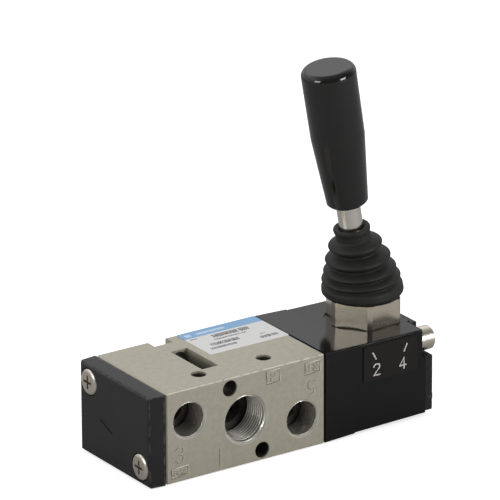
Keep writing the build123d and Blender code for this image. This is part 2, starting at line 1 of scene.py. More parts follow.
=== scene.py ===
import json
import bmesh
import bpy
import numpy as np
from mathutils import Matrix, Vector


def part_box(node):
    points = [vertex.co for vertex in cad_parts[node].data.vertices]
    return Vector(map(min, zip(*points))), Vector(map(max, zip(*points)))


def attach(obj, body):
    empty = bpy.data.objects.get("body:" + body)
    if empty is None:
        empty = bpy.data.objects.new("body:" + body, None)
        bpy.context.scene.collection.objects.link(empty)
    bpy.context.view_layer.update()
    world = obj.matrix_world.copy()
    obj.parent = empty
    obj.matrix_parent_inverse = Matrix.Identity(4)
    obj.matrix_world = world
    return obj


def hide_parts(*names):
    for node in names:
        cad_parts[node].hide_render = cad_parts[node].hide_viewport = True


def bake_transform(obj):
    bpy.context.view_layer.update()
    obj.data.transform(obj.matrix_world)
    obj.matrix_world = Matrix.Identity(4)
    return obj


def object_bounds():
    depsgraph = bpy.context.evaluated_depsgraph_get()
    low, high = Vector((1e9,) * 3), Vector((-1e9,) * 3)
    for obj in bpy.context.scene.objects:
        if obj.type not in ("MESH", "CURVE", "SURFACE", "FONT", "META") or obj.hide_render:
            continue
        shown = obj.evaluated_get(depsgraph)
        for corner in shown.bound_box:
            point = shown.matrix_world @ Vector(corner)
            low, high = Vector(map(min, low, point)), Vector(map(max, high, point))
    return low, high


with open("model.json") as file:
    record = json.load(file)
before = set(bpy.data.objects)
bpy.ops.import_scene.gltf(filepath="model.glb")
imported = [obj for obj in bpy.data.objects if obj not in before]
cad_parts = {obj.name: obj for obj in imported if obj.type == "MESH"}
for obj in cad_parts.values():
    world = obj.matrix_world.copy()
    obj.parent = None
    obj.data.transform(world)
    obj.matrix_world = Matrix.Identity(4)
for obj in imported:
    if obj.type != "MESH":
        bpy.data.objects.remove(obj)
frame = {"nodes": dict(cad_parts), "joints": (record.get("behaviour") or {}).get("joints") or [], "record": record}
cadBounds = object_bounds()
nodes = frame["nodes"]
mounts = {mount["name"]: mount for mount in frame["record"]["mounts"]}
pivot = next(np.array(joint["pos_m"]) for joint in frame["joints"] if joint["name"] == "lever_tilt")
portNames = ("port_1", "port_2", "port_3", "port_4", "port_5")
print("frame loaded:", len(nodes), "nodes")

mm = 0.001
samePlace = 0.00001 * mm
leverLean = np.radians(9.4)  # the lever's lean from the vertical at rest, towards the end cap


def corners(node):
    # lowest and highest corner of a node's box, as arrays
    return [np.array(corner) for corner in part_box(node)]


bodyLow, bodyHigh = corners("valve_body")
labelLow, labelHigh = corners("flow_label")
plateLow = corners("position_plate")[0]
bootLow = corners("boot")[0]


# A socket with arithmetic: each operation adds a Math node
class Wire:
    def __init__(self, graph, socket):
        self.graph, self.socket = graph, socket

    def math(self, operation, *others, swap=False):
        values = [self, *others]
        if swap:
            values = values[::-1]
        return self.graph.add("ShaderNodeMath", {"operation": operation}, dict(enumerate(values)))

    def __add__(self, other): return self.math("ADD", other)
    def __radd__(self, other): return self.math("ADD", other)
    def __sub__(self, other): return self.math("SUBTRACT", other)
    def __rsub__(self, other): return self.math("SUBTRACT", other, swap=True)
    def __mul__(self, other): return self.math("MULTIPLY", other)
    def __truediv__(self, other): return self.math("DIVIDE", other)
    def __abs__(self): return self.math("ABSOLUTE")
    def most(self, other): return self.math("MAXIMUM", other)
    def root(self): return self.math("SQRT")

    def ramp(self, low, high, start=0.0, end=1.0):
        # soft step from start at low to end at high
        return self.graph.add("ShaderNodeMapRange", {"interpolation_type": "SMOOTHSTEP"}, {
            "Value": self, "From Min": low, "From Max": high, "To Min": start, "To Max": end})

    def between(self, low, high, soft):
        # 1 from low to high, with soft ends
        return self.ramp(low - soft, low + soft) * self.ramp(high - soft, high + soft, 1.0, 0.0)


class Graph:
    def __init__(self, tree):
        self.tree = tree

    def add(self, kind, settings=None, inputs=None, output=0):
        # one node: its settings first, then the values or links of its sockets
        node = self.tree.nodes.new(kind)
        for key, value in (settings or {}).items():
            setattr(node, key, value)
        for key, value in (inputs or {}).items():
            if isinstance(value, Wire):
                self.tree.links.new(value.socket, node.inputs[key])
            else:
                node.inputs[key].default_value = value
        return Wire(self, node.outputs[output])

    def axes(self, source="Object"):
        # the three parts of a coordinate, each as a wire
        spot = self.add("ShaderNodeTexCoord", output=source)
        return [self.add("ShaderNodeSeparateXYZ", None, {0: spot}, axis) for axis in range(3)]

    def noise(self, scale, detail=3.0, rough=0.5, stretch=(1, 1, 1)):
        # noise fixed to the object; its scale is per metre, and a stretch under 1 draws it out on an axis
        spot = self.add("ShaderNodeTexCoord", output="Object")
        spot = self.add("ShaderNodeMapping", {"vector_type": "POINT"}, {"Vector": spot, "Scale": stretch})
        return self.add("ShaderNodeTexNoise", None, {
            "Vector": spot, "Scale": scale, "Detail": detail, "Roughness": rough})

    def noiseAt(self, x, y, z):
        # coarse noise at a place given by wires or numbers
        spot = self.add("ShaderNodeCombineXYZ", None, {0: x, 1: y, 2: z})
        return self.add("ShaderNodeTexNoise", None, {"Vector": spot, "Scale": 1.0, "Detail": 1.0})

    def blendColor(self, factor, low, high):
        # low where the factor is 0, high where it is 1
        inputs = {0: factor, 6: low if isinstance(low, Wire) else (*low, 1),
                  7: high if isinstance(high, Wire) else (*high, 1)}
        return self.add("ShaderNodeMix", {"data_type": "RGBA"}, inputs, 2)


class Finish(Graph):
    def __init__(self, name, color, roughness=0.5, metallic=0.0, **extra):
        self.material = bpy.data.materials.new(name)
        self.material.use_nodes = True
        super().__init__(self.material.node_tree)
        self.shader = self.tree.nodes["Principled BSDF"]
        constants = {"Base Color": (*color, 1), "Roughness": roughness, "Metallic": metallic, **extra}
        for socket, value in constants.items():
            self.shader.inputs[socket].default_value = value

    def feed(self, socket, wire):
        self.tree.links.new(wire.socket, self.shader.inputs[socket])

    def bump(self, height, strength, distance):
        self.feed("Normal", self.add("ShaderNodeBump", None, {
            "Height": height, "Strength": strength, "Distance": distance}))

    def edgeMask(self, low, high, reach, acrossX=False, core=0.4):
        # 1 near a box's long edges, where both other axes are near their ends: full within the core's
        # share of the reach; acrossX adds the edges of both ends
        x, y, z = self.axes()
        middle, half = (low + high) / 2, (high - low) / 2
        nearY = abs(y - middle[1]).ramp(half[1] - reach, half[1] - reach * core)
        nearZ = abs(z - middle[2]).ramp(half[2] - reach, half[2] - reach * core)
        mask = nearY * nearZ
        if acrossX:
            nearX = abs(x - middle[0]).ramp(half[0] - reach, half[0] - reach * core)
            mask = mask.most(nearX * nearY).most(nearX * nearZ)
        return mask


def meshFrom(name, points, faces, material, body=None, smoothShading=True, uv=None):
    # one object at the origin from points and quads; points at the same place are joined
    mesh = bpy.data.meshes.new(name)
    mesh.from_pydata(points.reshape(-1, 3).tolist(), [], faces.tolist())
    mesh.materials.append(material)
    mesh.polygons.foreach_set("use_smooth", np.full(len(mesh.polygons), smoothShading))
    if uv is not None:
        mesh.uv_layers.new(name="UVMap").uv.foreach_set("vector", uv[faces.ravel()].ravel())
    joined = bmesh.new()
    joined.from_mesh(mesh)
    bmesh.ops.remove_doubles(joined, verts=joined.verts, dist=samePlace)
    joined.to_mesh(mesh)
    joined.free()
    piece = bpy.data.objects.new(name, mesh)
    bpy.context.collection.objects.link(piece)
    if body:
        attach(piece, body)
    return piece


def gridFaces(rows, columns, closeRows):
    # quads between neighbouring rows and columns of a grid of points, numbered row by row;
    # the last column meets the first, and the last row the first if closeRows
    i, j = np.meshgrid(np.arange(rows if closeRows else rows - 1), np.arange(columns), indexing="ij")
    i2, j2 = (i + 1) % rows, (j + 1) % columns
    quads = [i * columns + j, i * columns + j2, i2 * columns + j2, i2 * columns + j]
    return np.stack(quads, -1).reshape(-1, 4)


# color and dark are the metal's own uneven tone; the pale edge colour is a painted highlight on the long edges and
# on the ring round each port's mouth; the bore colour is painted shade in the holes and the pocket
champagne = {
    "color": (0.475, 0.452, 0.368), "dark": (0.40, 0.375, 0.30), "wornAndHighlight": (0.86, 0.84, 0.76),
    "bore": (0.045, 0.040, 0.032), "roughness": 0.44, "metallic": 0.5,
    "cloud": {"scale": 130, "detail": 4, "rough": 0.6}, "cloudShare": 0.35,
    "speck": {"scale": 700, "detail": 3, "rough": 0.6}, "speckEnds": (0.32, 0.68), "speckShare": 0.5,
    "grain": {"scale": 2400, "detail": 2, "stretch": (0.25, 1, 1)}, "grainShare": 0.15,
    "edge": 0.42 * mm, "edgeBreak": {"scale": 600, "detail": 3}, "edgeEnds": (0.25, 0.5), "wornHighlightShare": 0.85,
    # how much roughness and metallic change with each mask
    "glossLift": 0.05, "cloudGloss": 0.08, "grainGloss": 0.06, "highlightGloss": 0.14,
    "edgeMetal": 0.35, "chamferMetal": 0.3, "boreMetal": 0.4, "relief": 0.3, "reliefDepth": 0.015 * mm,
}
# holes: depth at which the painted shade begins, how far past the radius it ends, and the ring of a port's mouth,
# which gets a painted highlight
hole = {"mouth": 0.7 * mm, "rimStart": 0.05 * mm, "rimEnd": 0.2 * mm, "chamfer": 0.5 * mm,
        "ringInside": 0.1 * mm, "ringSoft": 0.05 * mm}
# mounting holes: radius, half their spacing along the body, and how far they lie off its middle plane
sideHole = {"radius": 2.25 * mm, "spread": 5.07 * mm, "rise": 9.87 * mm}
topHole = {"radius": 2.1 * mm, "spread": 10.25 * mm, "shift": -9.7 * mm}
# pocket in the top around a side hole's axis: half its sides and how much painted shade darkens it with depth
pocket = {"half": 2.62 * mm, "reach": 7.52 * mm, "shade": 0.6, "soft": 0.1 * mm, "shadeDepth": 2 * mm}


def inHole(across, above, radius):
    # distance from a hole's axis by the root of the squares, and 1 within its radius
    distance = (across * across + above * above).root()
    return distance, distance.ramp(radius + hole["rimStart"], radius + hole["rimEnd"], 1.0, 0.0)


def boreMasks(f):
    # inside: 1 within a hole's radius, below its mouth, where shade is painted; chamfer: 1 on the ring around a
    # port's mouth, where a highlight is painted
    x, y, z = f.axes()
    mouth = hole["mouth"]
    mouthSide = abs(y).ramp(bodyHigh[1] - mouth, bodyHigh[1] - mouth / 2, 1.0, 0.0)
    mouthTop = z.ramp(bodyHigh[2] - mouth, bodyHigh[2] - mouth / 2, 1.0, 0.0)
    ports = [(mounts[name]["pos_m"], mounts[name]["dims"]["r_mm"] * mm) for name in portNames]
    middle, spread, rise = (bodyLow[2] + bodyHigh[2]) / 2, sideHole["spread"], sideHole["rise"]
    sides = [((side * spread, 0, middle - side * rise), sideHole["radius"]) for side in (-1, 1)]
    inside = chamfer = None
    for number, (place, radius) in enumerate(ports + sides):
        distance, mask = inHole(x - place[0], z - place[2], radius)
        mask = mask * mouthSide
        if number < len(ports):
            facing = y.ramp(-mm, mm) if place[1] > 0 else y.ramp(-mm, mm, 1.0, 0.0)
            ring = distance.between(radius - hole["ringInside"], radius + hole["chamfer"], hole["ringSoft"])
            ring = ring * (1 - mouthSide) * facing
            mask = mask * facing
            chamfer = ring if chamfer is None else chamfer.most(ring)
        inside = mask if inside is None else inside.most(mask)
    distance, mask = inHole(abs(x) - topHole["spread"], y - topHole["shift"], topHole["radius"])
    return inside.most(mask * mouthTop), chamfer


def champagneFinish():
    # satin anodised metal: soft clouds, fine drawn grain, a painted highlight on the long edges and port rings,
    # and painted shade in the bores and the pocket
    look, soft = champagne, pocket["soft"]
    f = Finish("champagneAnodised", look["color"], look["roughness"], look["metallic"])
    cloud = f.noise(**look["cloud"])
    speck = f.noise(**look["speck"]).ramp(*look["speckEnds"])
    grain = f.noise(**look["grain"])
    edge = f.edgeMask(bodyLow, bodyHigh, look["edge"])
    edge = edge * f.noise(**look["edgeBreak"]).ramp(*look["edgeEnds"])
    inside, chamfer = boreMasks(f)
    x, y, z = f.axes()
    # painted shade in the pocket, darker towards its floor
    pocketShade = abs(x + sideHole["spread"]).ramp(pocket["half"], pocket["half"] + soft, 1.0, 0.0)
    pocketShade = pocketShade * z.ramp(bodyHigh[2] - pocket["shadeDepth"], bodyHigh[2] - soft, pocket["shade"], 0.0)
    pocketShade = pocketShade * abs(y).ramp(pocket["reach"], pocket["reach"] + soft, 1.0, 0.0)
    # painted highlight on the long edges and on the rings round the ports' mouths
    paintedHighlight = edge.most(chamfer)
    uneven = cloud * look["cloudShare"] + speck * look["speckShare"] + grain * look["grainShare"]
    tone = f.blendColor(uneven, look["dark"], look["color"])
    tone = f.blendColor(paintedHighlight * look["wornHighlightShare"], tone, look["wornAndHighlight"])
    # painted shade: the bore colour inside the holes and in the pocket
    f.feed("Base Color", f.blendColor(inside.most(pocketShade), tone, look["bore"]))
    gloss = look["roughness"] - look["glossLift"] + cloud * look["cloudGloss"] + grain * look["grainGloss"]
    f.feed("Roughness", gloss - paintedHighlight * look["highlightGloss"])
    metal = look["metallic"] - edge * look["edgeMetal"] + chamfer * look["chamferMetal"]
    f.feed("Metallic", metal - inside * look["boreMetal"])
    f.bump(grain * 0.5 + speck * 0.5, look["relief"], look["reliefDepth"])
    return f.material


# the groove colour is painted shade, in the grooves between the crests and deeper in the hole
machined = {
    "color": (0.80, 0.78, 0.71), "roughness": 0.25, "metallic": 0.95, "crest": (0.94, 0.92, 0.85),
    "groove": (0.10, 0.095, 0.08), "grooveEnds": (0.05, 0.75), "deepEnds": (0.6, 1.0), "deepShare": 0.5,
    "chatter": {"scale": 1500, "detail": 2}, "smoothest": 0.26, "chatterGloss": 0.1,
}


def machinedFinish():
    # threads cut through the anodising: bright crests, painted shade in the grooves, and painted shade deeper in
    # the hole
    look = machined
    f = Finish("machinedThread", look["color"], look["roughness"], look["metallic"])
    chatter = f.noise(**look["chatter"])
    crest, depth = f.axes("UV")[:2]
    # painted shade in the grooves between the crests
    tone = f.blendColor(crest.ramp(*look["grooveEnds"]), look["groove"], look["crest"])
    # painted shade deeper in the hole
    depthShade = depth.ramp(*look["deepEnds"], 0.0, look["deepShare"])
    f.feed("Base Color", f.blendColor(depthShade, tone, look["groove"]))
    f.feed("Roughness", look["smoothest"] + chatter * look["chatterGloss"])
    return f.material


# the edge colour lightens rubbed edges, partly as wear and partly as a painted highlight
plain = {
    "cloud": {"scale": 120, "detail": 3}, "grainDetail": 3, "grainGloss": 0.1, "relief": 0.3,
    "edge": 0.7 * mm, "edgeBreak": {"scale": 700, "detail": 3}, "edgeEnds": (0.35, 0.65),
    "wornAndHighlight": (0.12, 0.12, 0.115), "wornHighlightShare": 0.5,
}


def plainFinish(name, color, roughness, grainScale, grainDepth, spread=0.25, mirror=0.27, wornAndHighlight=None):
    # plastic or black anodising: uneven tone, a fine grain in gloss and relief, and a box's rubbed edges, lighter
    # partly from wear and partly as a painted highlight
    f = Finish(name, color, roughness, **{"Specular IOR Level": mirror})
    grain = f.noise(grainScale, plain["grainDetail"])
    cloud = f.noise(**plain["cloud"])
    low, high = (tuple((1 + side * spread) * c for c in color) for side in (-1, 1))
    tone = f.blendColor(cloud, low, high)
    if wornAndHighlight:
        # rubbed edges, lighter partly from wear and partly as a painted highlight
        rubbed = f.edgeMask(*wornAndHighlight, plain["edge"], acrossX=True)
        rubbed = rubbed * f.noise(**plain["edgeBreak"]).ramp(*plain["edgeEnds"])
        tone = f.blendColor(rubbed * plain["wornHighlightShare"], tone, plain["wornAndHighlight"])
    f.feed("Base Color", tone)
    f.feed("Roughness", roughness - plain["grainGloss"] / 2 + grain * plain["grainGloss"])
    f.bump(grain, plain["relief"], grainDepth)
    return f.material


metal = {
    "cloud": {"scale": 260, "detail": 3}, "lines": {"scale": 1800, "detail": 2}, "dark": 0.9,
    "cloudGloss": 0.06, "lineGloss": 0.05, "relief": 0.1, "reliefDepth": 0.01 * mm,
}


def metalFinish(name, color, roughness, stretch=(1, 1, 0.2)):
    # plated or turned metal: faint clouds and fine tool lines
    f = Finish(name, color, roughness, 1.0)
    cloud = f.noise(**metal["cloud"])
    lines = f.noise(**metal["lines"], stretch=stretch)
    gloss = roughness - metal["cloudGloss"] / 2 + cloud * metal["cloudGloss"]
    f.feed("Roughness", gloss + lines * metal["lineGloss"])
    f.feed("Base Color", f.blendColor(cloud, tuple(metal["dark"] * c for c in color), color))
    f.bump(lines, metal["relief"], metal["reliefDepth"])
    return f.material


rubber = {
    "dust": {"scale": 420, "detail": 4}, "grain": {"scale": 3000, "detail": 3}, "mirror": 0.3,
    "dark": 0.8, "dusty": 1.4, "grainGloss": 0.12, "relief": 0.35, "reliefDepth": 0.04 * mm,
}


def rubberFinish(name, color, roughness):
    # matte rubber with a dusty, slightly uneven bloom
    f = Finish(name, color, roughness, **{"Specular IOR Level": rubber["mirror"]})
    dust = f.noise(**rubber["dust"])
    grain = f.noise(**rubber["grain"])
    low, high = (tuple(rubber[share] * c for c in color) for share in ("dark", "dusty"))
    f.feed("Base Color", f.blendColor(dust, low, high))
    f.feed("Roughness", roughness - rubber["grainGloss"] / 2 + grain * rubber["grainGloss"])
    f.bump(grain, rubber["relief"], rubber["reliefDepth"])
    return f.material


labelFilm = {
    "white": (0.76, 0.755, 0.75), "blue": (0.20, 0.42, 0.70), "ink": (0.07, 0.07, 0.08),
    "pale": (0.66, 0.78, 0.90), "bandStart": 0.75, "bandSoft": 0.004, "roughness": 0.35,
    "soil": {"scale": 500, "detail": 3}, "soiled": 0.96, "soilGloss": 0.08,
    # lengths of a word and of a stroke in marks, where each noise cuts, and soft ends across and along
    "wordMarks": 3.6, "wordEnds": (0.28, 0.32), "wordPlace": 0.5, "strokeMarks": 0.55,
    "strokeEnds": (0.38, 0.48), "seedStep": 3.7, "rowSoft": 0.006, "endSoft": 0.002,
    # rows of marks that stand for small print, as shares of the label's sides: middle across, half
    # height, start and end along, tone, mark length
    "rows": [(0.635, 0.060, 0.30, 0.76, 1.0, 0.024), (0.50, 0.024, 0.26, 0.67, 0.85, 0.016),
             (0.345, 0.050, 0.15, 0.51, 0.95, 0.022), (0.20, 0.036, 0.09, 0.42, 0.9, 0.018),
             (0.17, 0.044, 0.71, 0.93, 1.0, 0.024), (0.30, 0.018, 0.76, 0.82, 0.7, 0.014),
             (0.69, 0.020, 0.04, 0.13, 0.8, 0.014)],
    "bandRows": [(0.86, 0.05, 0.05, 0.12, 1.0, 0.030), (0.86, 0.035, 0.19, 0.55, 0.9, 0.018)],
}


def printRows(f, along, across, rows):
    # the largest of the rows' masks: a band across, cut along its length by two noises into short marks
    size, look = labelHigh - labelLow, labelFilm
    total = None
    for number, (middle, half, start, end, tone, mark) in enumerate(rows):
        seed, word, stroke = look["seedStep"] * number, mark * look["wordMarks"], mark * look["strokeMarks"]
        words = f.noiseAt(along / word, seed, look["wordPlace"]).ramp(*look["wordEnds"])
        strokes = f.noiseAt(along / stroke, across * (size[1] / size[0]) / stroke, seed)
        strokes = strokes.ramp(*look["strokeEnds"])
        row = across.between(middle - half, middle + half, look["rowSoft"])
        row = row * along.between(start, end, look["endSoft"]) * words * strokes * tone
        total = row if total is None else total.most(row)
    return total


def labelFinish():
    # white film, blue band along its back edge, rows of marks in place of print
    look = labelFilm
    f = Finish("labelFilm", look["white"], look["roughness"])
    x, y = f.axes()[:2]
    size = labelHigh - labelLow
    along, across = (x - labelLow[0]) / size[0], (y - labelLow[1]) / size[1]
    soil = f.noise(**look["soil"])
    paper = f.blendColor(soil, tuple(look["soiled"] * c for c in look["white"]), look["white"])
    paper = f.blendColor(printRows(f, along, across, look["rows"]), paper, look["ink"])
    band = f.blendColor(printRows(f, along, across, look["bandRows"]), look["blue"], look["pale"])
    inBand = across.ramp(look["bandStart"] - look["bandSoft"], look["bandStart"] + look["bandSoft"])
    f.feed("Base Color", f.blendColor(inBand, paper, band))
    f.feed("Roughness", look["roughness"] + soil * look["soilGloss"])
    return f.material


body = champagneFinish()
threadMetal = machinedFinish()
capBlack = plainFinish("satinBlack", color=(0.014, 0.014, 0.0145), roughness=0.40, grainScale=2200,
                       grainDepth=0.02 * mm, wornAndHighlight=corners("end_cap"))
housingBlack = plainFinish("glossBlack", color=(0.006, 0.006, 0.0062), roughness=0.13, grainScale=2600,
                           grainDepth=0.004 * mm)
screwBlack = plainFinish("blackOxide", color=(0.02, 0.02, 0.02), roughness=0.35, grainScale=2600,
                         grainDepth=0.004 * mm, mirror=0.5)
plateBlack = plainFinish("plateBlack", color=(0.010, 0.008, 0.007), roughness=0.28, grainScale=2600,
                         grainDepth=0.006 * mm)
knobBlack = plainFinish("polishedBlack", color=(0.0072, 0.0065, 0.0060), roughness=0.10, grainScale=700,
                        grainDepth=0.004 * mm, mirror=0.5)
sealRubber = rubberFinish("sealRubber", color=(0.02, 0.02, 0.02), roughness=0.5)
bootRubber = rubberFinish("matteRubber", color=(0.0135, 0.0135, 0.0125), roughness=0.6)
nickel = metalFinish("nickelPlate", color=(0.70, 0.63, 0.52), roughness=0.23)
screwNickel = metalFinish("screwNickel", color=(0.66, 0.61, 0.53), roughness=0.27, stretch=(0.2, 1, 1))
polished = metalFinish("polishedSteel", color=(0.78, 0.74, 0.68), roughness=0.12)
turnedBrass = metalFinish("turnedBrass", color=(0.72, 0.52, 0.24), roughness=0.25)
springSteel = metalFinish("springSteel", color=(0.55, 0.55, 0.55), roughness=0.25)
hardAnodised = metalFinish("hardAnodised", color=(0.62, 0.62, 0.61), roughness=0.3)
nylon = plainFinish("nylon", color=(0.75, 0.73, 0.66), roughness=0.45, grainScale=1500,
                    grainDepth=0.01 * mm, spread=0.05)
label = labelFinish()

nodeFinish = {
    body: ["valve_body"], capBlack: ["end_cap", "rear_cover"], housingBlack: ["lever_housing"],
    sealRubber: ["end_cap_gasket", "housing_gasket", "rod_seal", "spool_seals"],
    screwNickel: ["end_cap_screws", "housing_screws", "lock_washers"], screwBlack: ["rear_cover_screws"],
    plateBlack: ["position_plate"], label: ["flow_label"], nickel: ["gland_nut"], bootRubber: ["boot"],
    turnedBrass: ["seal_retainer", "knob_insert"], springSteel: ["detent_spring"],
    nylon: ["ball_seat", "ball_retainer"], hardAnodised: ["spool"],
    polished: ["spool_yoke", "lever_rod", "pivot_ball", "tip_ball"], knobBlack: ["lever_knob"],
}
for material, names in nodeFinish.items():
    for name in names:
        nodes[name].data.materials.clear()
        nodes[name].data.materials.append(material)
print("finishes on the fixed nodes")

boot = {
    "wall": 0.85, "around": 160, "perSpan": 9, "fullness": 0.62,
    # height above the nut and radius in mm, turning points from the skirt to the lip
    "knots": [(0.0, 9.95), (1.5, 11.05), (2.9, 10.95), (4.15, 9.7), (5.25, 10.65), (6.55, 8.85),
              (7.75, 9.85), (9.35, 7.3), (11.25, 8.85), (13.15, 5.7), (15.25, 7.3), (17.15, 4.75),
              (18.55, 4.7), (20.0, 5.0)],
    "lipTop": 20.5, "bore": 3.32, "neck": 7.28, "neckHeight": 2.1, "collarHeight": 2.5,
    # drop from the top and radius of the lip's outside; drop and growth over the bore of the lip's
    # inside and of the collar's end; least growth and gap in height of the folds' inside
    "lip": [(0.12, 4.85), (0, 4.5)], "lipInside": [(0.05, 0.5), (0.5, 0)],
    "collarInside": [(0, 0), (0.6, 0.3)], "innerGrowth": 0.1, "innerGap": 0.4,
}


def bootSection():
    # Closed outline of height and radius: up the outside, over the lip and down the inside.
    # Each span between turning points is a half cosine raised to a power, so folds are full and gaps tight.
    knots = np.array(boot["knots"])
    t = np.linspace(0, 1, boot["perSpan"], endpoint=False)
    swell = (1 - np.cos(np.pi * t)) / 2
    rows = []
    for (h0, r0), (h1, r1) in zip(knots[:-1], knots[1:]):
        share = swell ** boot["fullness"] if r1 > r0 else 1 - (1 - swell) ** boot["fullness"]
        rows.append(np.stack([h0 + (h1 - h0) * t, r0 + (r1 - r0) * share], -1))
    outside = np.concatenate([*rows, knots[-1:]])
    top, bore, gap = boot["lipTop"], boot["bore"], boot["innerGap"]
    lip = np.array([(top - drop, radius) for drop, radius in boot["lip"]]
                   + [(top - drop, bore + growth) for drop, growth in boot["lipInside"]])
    collarEnd = top - boot["collarHeight"]
    collar = np.array([(collarEnd - drop, bore + growth) for drop, growth in boot["collarInside"]])
    aboveNeck = outside[:, 0] > boot["neckHeight"] + gap
    inner = outside[aboveNeck & (outside[:, 0] < collar[1, 0] - gap)][::-1].copy()
    inner[:, 1] = np.maximum(inner[:, 1] - boot["wall"], bore + boot["innerGrowth"])
    neck = np.array([(boot["neckHeight"], boot["neck"]), (0.0, boot["neck"])])
    return np.concatenate([outside, lip, collar, inner, neck]) * mm


def bootPoints():
    # The outline turned about a centre line that leans further towards the lever as it rises:
    # the lean grows with the root of the height, from upright at the nut to the lever's own lean.
    height, radius = bootSection().T
    lean = leverLean * np.sqrt(np.clip(height / (boot["lipTop"] * mm), 0, 1))
    reach = bootLow[2] - pivot[2] + height
    up = np.stack([-np.sin(lean), 0 * lean, np.cos(lean)], -1)
    across = np.stack([np.cos(lean), 0 * lean, np.sin(lean)], -1)
    turn = np.linspace(0, 2 * np.pi, boot["around"], endpoint=False)[None, :, None]
    centre = pivot + up * reach[:, None]
    ring = np.cos(turn) * across[:, None] + np.sin(turn) * np.array([0, 1, 0])
    return centre[:, None] + radius[:, None, None] * ring


points = bootPoints()
bellows = meshFrom("bellows", points, gridFaces(len(points), boot["around"], closeRows=True), bootRubber)
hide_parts("boot")
rodAxis = np.array([-np.sin(leverLean), 0, np.cos(leverLean)])
bootReach = bootLow[2] - pivot[2]
tuple(pivot + np.array([0, 0, bootReach + 2.5 * mm]))
tuple(pivot + rodAxis * (bootReach + 18.0 * mm))
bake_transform(bellows)
print("bellows made")

thread = {
    # each kind's groove share sets how strongly painted shade marks its grooves
    "large": {"pitch": 0.94 * mm, "depth": 0.5 * mm, "groove": 1.0},
    "small": {"pitch": 0.907 * mm, "depth": 0.1 * mm, "groove": 0.3},
    # flat: share of a ridge's height taken off its crest and root; lift: gap to the hole's wall;
    # runIn: length over which the ridges rise; endGap: what the thread leaves of the hole's depth
    "largeRadius": 6 * mm, "around": 96, "perPitch": 8, "flat": 0.125, "lift": 0.13 * mm,
    "runIn": 0.8 * mm, "endGap": 0.6 * mm,
}


def threadPoints(mouth, inward, radius, length, pitch, depth, groove):
    # Liner of a threaded hole: its radius is the hole's less depth times a flattened triangle wave of
    # distance over pitch minus turn, which fades in at the mouth; a plain outer wall closes it.
    # Its map holds the share of the crest's height, weakened by the painted shade of the groove, and of the depth.
    turn = np.linspace(0, 2 * np.pi, thread["around"], endpoint=False)
    along = np.linspace(0, length, int(length / pitch * thread["perPitch"]))
    wave = (along[:, None] / pitch - turn[None, :] / (2 * np.pi)) % 1
    ridge = np.clip((1 - np.abs(2 * wave - 1)) * (1 + 2 * thread["flat"]) - thread["flat"], 0, 1)
    fade = np.clip(along / thread["runIn"], 0, 1)[:, None]
    r = radius - thread["lift"] - depth * ridge * fade
    r = np.concatenate([r, np.full((2, len(turn)), radius - thread["lift"] / 2)])
    along = np.concatenate([along, [length, 0]])
    crest = np.concatenate([1 - groove * fade * (1 - ridge), np.ones((2, len(turn)))])
    spots = np.dstack([crest, np.broadcast_to(along[:, None] / length, crest.shape)])
    centre = mouth + along[:, None] * inward
    ring = np.cos(turn)[:, None] * np.array([1.0, 0, 0]) + np.sin(turn)[:, None] * np.array([0, 0, 1.0])
    return centre[:, None] + r[..., None] * ring[None], spots


for name in portNames:
    mount = mounts[name]
    radius, length = mount["dims"]["r_mm"] * mm, mount["dims"]["length_mm"] * mm
    kind = thread["large" if radius > thread["largeRadius"] else "small"]
    inward = -np.array(mount["axis"], float)
    mouth = np.array(mount["pos_m"]) - inward * length / 2
    points, spots = threadPoints(mouth, inward, radius, length - thread["endGap"], **kind)
    faces = gridFaces(len(points), thread["around"], closeRows=True)[:, ::int(inward[1])]
    meshFrom(f"thread_{name}", points, faces, threadMetal, "valve", uv=spots.reshape(-1, 2))
print("port threads cut")

# Outlines on a grid 2 wide and 4 high, middle at 0, 0
glyphs = {
    "1": [[(0, -2), (0, 2)]],
    "2": [[(-0.95, 1.1), (-0.8, 1.7), (-0.3, 2), (0.3, 2), (0.85, 1.65), (0.95, 1.0), (0.7, 0.35),
           (-0.95, -2), (1.0, -2)]],
    "3": [[(-0.9, 1.5), (-0.4, 2), (0.3, 2), (0.85, 1.6), (0.9, 0.9), (0.5, 0.25), (-0.1, 0.1)],
          [(-0.1, 0.1), (0.6, -0.1), (0.95, -0.8), (0.85, -1.6), (0.3, -2), (-0.4, -2), (-0.95, -1.5)]],
    "4": [[(0.45, -2), (0.45, 2), (-0.95, -0.8)], [(-0.95, -0.8), (1.05, -0.8)]],
    "5": [[(0.85, 2), (-0.65, 2), (-0.8, 0.25), (-0.2, 0.6), (0.45, 0.5), (0.95, -0.1), (0.95, -1.1),
           (0.5, -1.8), (-0.2, -2), (-0.9, -1.6)]],
    "P": [[(-0.8, -2), (-0.8, 2)], [(-0.8, 2), (0.2, 2), (0.85, 1.5), (0.85, 0.5), (0.2, 0), (-0.8, 0)]],
    "R": [[(-0.8, -2), (-0.8, 2)], [(-0.8, 2), (0.2, 2), (0.85, 1.5), (0.85, 0.6), (0.2, 0.1), (-0.8, 0.1)],
          [(0.1, 0.1), (0.9, -2)]],
    "frame": [[(-1, -2), (1, -2), (1, 2), (-1, 2), (-1, -2)]],
}
stroke = {
    # section of a bar as shares of its width and height
    "section": [(-0.5, 0), (-0.45, 1), (0.45, 1), (0.5, 0), (0.5, -1), (-0.5, -1)],
    # least cosine at a mitre, direction down to the right, towards the side with the painted highlight, rise of
    # each further stroke of a glyph in mm
    "mitre": 0.5, "downRight": (0.8, -0.6), "layer": 0.004,
}


